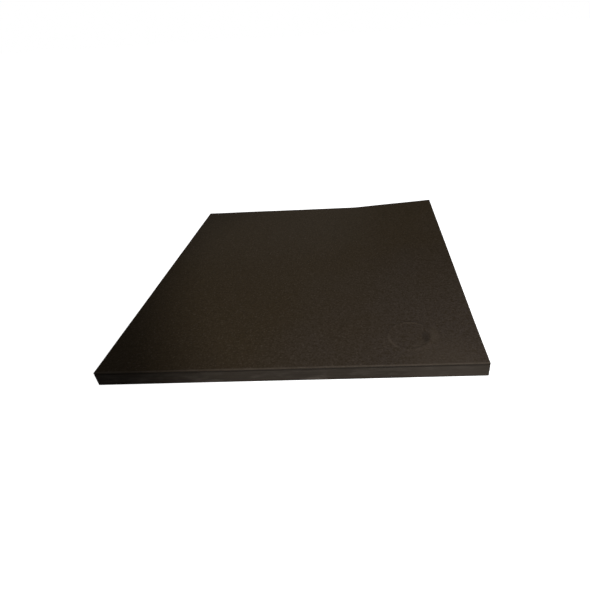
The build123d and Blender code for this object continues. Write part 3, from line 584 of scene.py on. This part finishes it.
def make_slab(name, xs, ys, levels, top_index, material):
    """A closed body over a grid. levels are functions that give the level of each point, from the
    underside up. top_index(x, y) gives the level that the body reaches in the cell at x, y: 0 is empty."""
    grid_x, grid_y = np.meshgrid(xs, ys, indexing="ij")
    x, y, inside = rounded_outline(grid_x, grid_y)
    flats = [level(x, y, inside) for level in levels]
    heights = [bent_height(x, y, flat) for flat in flats]
    tops = np.zeros((len(xs) + 1, len(ys) + 1), int)
    for i in range(len(xs) - 1):
        for j in range(len(ys) - 1):
            tops[i + 1, j + 1] = top_index((xs[i] + xs[i + 1]) / 2, (ys[j] + ys[j + 1]) / 2)
    points, flat_levels, known, faces = [], [], {}, []

    def point(i, j, k):
        if (i, j, k) not in known:
            known[i, j, k] = len(points)
            points.append((x[i, j], y[i, j], heights[k][i, j]))
            flat_levels.append(flats[k][i, j])
        return known[i, j, k]

    def wall(a, b, this_top, other_top):
        """Between two neighbouring cells; a to b runs with this cell on the left."""
        for k in range(other_top, this_top):
            faces.append((point(*a, k), point(*b, k), point(*b, k + 1), point(*a, k + 1)))

    for i in range(len(xs) - 1):
        for j in range(len(ys) - 1):
            top = tops[i + 1, j + 1]
            if top == 0:
                continue
            corners = ((i, j), (i + 1, j), (i + 1, j + 1), (i, j + 1))
            faces.append([point(*c, top) for c in corners])
            faces.append([point(*c, 0) for c in reversed(corners)])
            neighbours = (tops[i + 1, j], tops[i + 2, j + 1], tops[i + 1, j + 2], tops[i, j + 1])
            for side in range(4):
                if neighbours[side] < top:
                    wall(corners[side], corners[(side + 1) % 4], top, neighbours[side])
    return make_mesh_object(name, points, faces, flat_levels, material)


# ---- relief of the cover ------------------------------------------------------------------------
SWELLS = ((0.110, 0.00030), (0.045, 0.00010), (0.018, 0.00003))      # low swells: wavelength and height
SEED = 7


def cover_relief(x, y):
    """Level of the cover's top above its flat face."""
    ring_x, ring_y = x - RING_CENTRE[0], y - RING_CENTRE[1]
    reach = np.hypot(ring_x, ring_y / RING_DEPTH_SHARE)
    strong = np.maximum(np.cos(np.arctan2(ring_y, ring_x) - RING_STRONG), 0) ** 2
    width = RING_WIDTH * (1 + RING_SPREAD * strong)
    relief = RING_HEIGHT * (1 + RING_GAIN * strong) * np.exp(-(((reach - RING_RADIUS) / width) ** 2))
    relief -= RING_DISH * np.clip(1 - reach / RING_RADIUS, 0, 1)
    hollow_x, hollow_y = ((r - p) / s for r, p, s in zip((ring_x, ring_y), HOLLOW_PLACE, HOLLOW_SIZE))
    relief -= HOLLOW_DEPTH * np.exp(-(hollow_x ** 2 + hollow_y ** 2))
    swell = np.zeros(x.shape)
    for wavelength, height in SWELLS:
        for at in np.ndindex(x.shape):
            place = Vector((x[at] / wavelength, y[at] / wavelength, SEED + wavelength))
            swell[at] += height * noise.noise(place)
    return relief + swell


# ---- cover and tray -----------------------------------------------------------------------------
TOP_EDGE = 0.0013            # radii of the rounded edges
JOINT_EDGE = 0.0006
LOWER_EDGE = 0.0006
COVER_GRID, TRAY_GRID, PRINT_GRID = 0.006, 0.012, 0.0010
PRINT_MARGIN = 0.006         # how far the fine grid goes beyond the puck
TRAY_WALL_ROWS = (0.0055, 0.0085, 0.0115, 0.0145, 0.0165)      # levels of extra points up the sides


def make_cover(material):
    """The cover sheet, with a fine grid round the print of the puck."""
    reach = PUCK_RADIUS + PRINT_MARGIN
    dense_x = even_lines(PUCK_CENTRE.x - reach, PUCK_CENTRE.x + reach, PRINT_GRID)
    dense_y = even_lines(PUCK_CENTRE.y - reach, PUCK_CENTRE.y + reach, PRINT_GRID)

    def part_way(share):
        low, high = COVER_UNDERSIDE + JOINT_EDGE, COVER_TOP - TOP_EDGE
        return lambda x, y, inside: np.full(x.shape, low + share * (high - low))

    levels = (
        lambda x, y, inside: COVER_UNDERSIDE + edge_round(inside, JOINT_EDGE),
        part_way(0.33),
        part_way(0.67),
        lambda x, y, inside: COVER_TOP - edge_round(inside, TOP_EDGE) + cover_relief(x, y),
    )
    cover = make_slab(
        "rubber_cover", grid_lines(COVER_GRID, (dense_x,)), grid_lines(COVER_GRID, (dense_y,)), levels,
        lambda x, y: len(levels) - 1, material,
    )
    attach(cover, "mat")
    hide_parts("top_cover")


def make_tray(material):
    """The tray: a floor with walls round it, and a notch in the right wall for the gland's housing."""
    inner = HALF - TRAY_WALL
    notch_x, notch_low, notch_high = housing_low.x, housing_low.y, housing_high.y

    def flat(level):
        return lambda x, y, inside: np.full(x.shape, level)

    levels = (
        lambda x, y, inside: UNDERSIDE + edge_round(inside, LOWER_EDGE),
        flat(TRAY_FLOOR),
        *[flat(level) for level in TRAY_WALL_ROWS],
        lambda x, y, inside: WALL_TOP - edge_round(inside, JOINT_EDGE),
    )

    def top_index(x, y):
        if x > notch_x and notch_low < y < notch_high:
            return 0
        return len(levels) - 1 if max(abs(x), abs(y)) > inner else 1

    tray = make_slab(
        "rubber_tray", grid_lines(TRAY_GRID, ((-inner, inner, notch_x),)),
        grid_lines(TRAY_GRID, ((-inner, inner, notch_low, notch_high),)), levels, top_index, material,
    )
    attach(tray, "mat")
    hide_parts("base_tray")


# ---- edges of the foam and the gland ------------------------------------------------------------
FOAM_BEVEL = 0.0006
GLAND_BEVEL = 0.00025
GLAND_NODES = ("gland_housing", "gland_nut", "gland_spigot", "cord_seal")


def soften_edges(piece, width):
    """Narrow round arrises in place of razor-sharp ones."""
    weld = piece.modifiers.new("weld", "WELD")
    weld.merge_threshold = 0.00001
    bevel = piece.modifiers.new("bevel", "BEVEL")
    bevel.width = width
    bevel.segments = 2
    bevel.limit_method = "ANGLE"
    bevel.angle_limit = radians(35)


def make_foam_pad():
    """The foam core as a piece of its own: a firm flat board whose cut edges are slightly rounded."""
    node = frame["nodes"]["foam_core"]
    pad = bpy.data.objects.new("foam_pad", node.data.copy())
    pad.matrix_world = node.matrix_world.copy()
    bpy.context.scene.collection.objects.link(pad)
    soften_edges(pad, FOAM_BEVEL)
    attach(pad, "mat")
    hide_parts("foam_core")


make_cover(materials["cover_rubber"])
make_tray(materials["tray_rubber"])
make_foam_pad()
for name in GLAND_NODES:
    soften_edges(frame["nodes"][name], GLAND_BEVEL)


# ---- floor and light ----------------------------------------------------------------------------
FLOOR_GLOW = 1.0
SKY_LIGHT = 0.11
SPOT_SOFTNESS = 0.06
# name, place, aim, radius of the pool of light, blend, power
SPOTS = (
    ("front_low", (0.25, -1.10, 0.65), (0.16, -0.05, 0), 0.42, 0.15, 4.4),
    ("front_wide", (0.25, -1.10, 0.65), (0.22, 0.03, 0), 0.49, 0.12, 20.7),
    ("overhead", (0.20, 0.00, 1.20), (0.14, 0.02, 0), 0.40, 0.15, 9.2),
    ("near_corner", (0.90, -0.40, 0.28), (0.22, -0.22, 0), 0.26, 1.0, 5.1),
    ("back_left", (-0.60, 0.90, 0.90), (-0.15, 0.30, 0), 0.30, 0.8, 4.2),
    ("behind", (0.00, 1.20, 0.60), (-0.10, 0.30, 0), 0.30, 0.8, 3.9),
    ("back_right", (0.80, 0.70, 0.90), (0.24, 0.20, 0.02), 0.16, 1.0, 3.6),
)


def make_floor():
    """A white floor. The camera sees it glow, so it stays white, but only its own diffuse light falls
    on the object."""
    reach = 12.0
    mesh = bpy.data.meshes.new("floor")
    corners = [(-reach, -reach, 0), (reach, -reach, 0), (reach, reach, 0), (-reach, reach, 0)]
    mesh.from_pydata(corners, [], [(0, 1, 2, 3)])
    floor = bpy.data.objects.new("floor", mesh)
    bpy.context.scene.collection.objects.link(floor)
    floor.location.z = -0.0001
    paint, tree, shader = new_material("floor_white", (0.85, 0.85, 0.85), 0.9, specular=0.1)
    output = tree.nodes["Material Output"]
    glow = add_node(tree, "ShaderNodeEmission", Strength=FLOOR_GLOW)
    both = add_node(tree, "ShaderNodeAddShader")
    tree.links.new(shader.outputs[0], both.inputs[0])
    tree.links.new(glow.outputs[0], both.inputs[1])
    path = add_node(tree, "ShaderNodeLightPath")
    mix = add_node(tree, "ShaderNodeMixShader", Fac=path.outputs["Is Camera Ray"])
    tree.links.new(shader.outputs[0], mix.inputs[1])
    tree.links.new(both.outputs[0], mix.inputs[2])
    tree.links.new(mix.outputs[0], output.inputs["Surface"])
    mesh.materials.append(paint)


def make_world():
    """White for the camera, and a weak even light for everything else."""
    world = bpy.data.worlds.new("studio")
    world.use_nodes = True
    tree = world.node_tree
    tree.nodes.clear()
    seen = add_node(tree, "ShaderNodeBackground", Color=(1, 1, 1, 1), Strength=1.0)
    lit = add_node(tree, "ShaderNodeBackground", Color=(1, 1, 1, 1), Strength=SKY_LIGHT)
    path = add_node(tree, "ShaderNodeLightPath")
    mix = add_node(tree, "ShaderNodeMixShader", Fac=path.outputs["Is Camera Ray"])
    out = add_node(tree, "ShaderNodeOutputWorld")
    tree.links.new(lit.outputs[0], mix.inputs[1])
    tree.links.new(seen.outputs[0], mix.inputs[2])
    tree.links.new(mix.outputs[0], out.inputs[0])
    bpy.context.scene.world = world


def make_spot(name, place, aim, reach, blend, power):
    """A soft spotlight whose pool of light has a radius, its reach, round the aim."""
    data = bpy.data.lights.new(name, "SPOT")
    distance = (Vector(aim) - Vector(place)).length
    data.spot_size = 2 * atan(reach / distance)
    data.spot_blend = blend
    data.shadow_soft_size = SPOT_SOFTNESS
    data.energy = power
    light = bpy.data.objects.new(name, data)
    light.location = place
    light.rotation_euler = (Vector(aim) - Vector(place)).to_track_quat("-Z", "Y").to_euler()
    light.visible_camera = False
    bpy.context.scene.collection.objects.link(light)


make_floor()
make_world()
for spot in SPOTS:
    make_spot(*spot)
bpy.context.scene.view_settings.view_transform = "Standard"
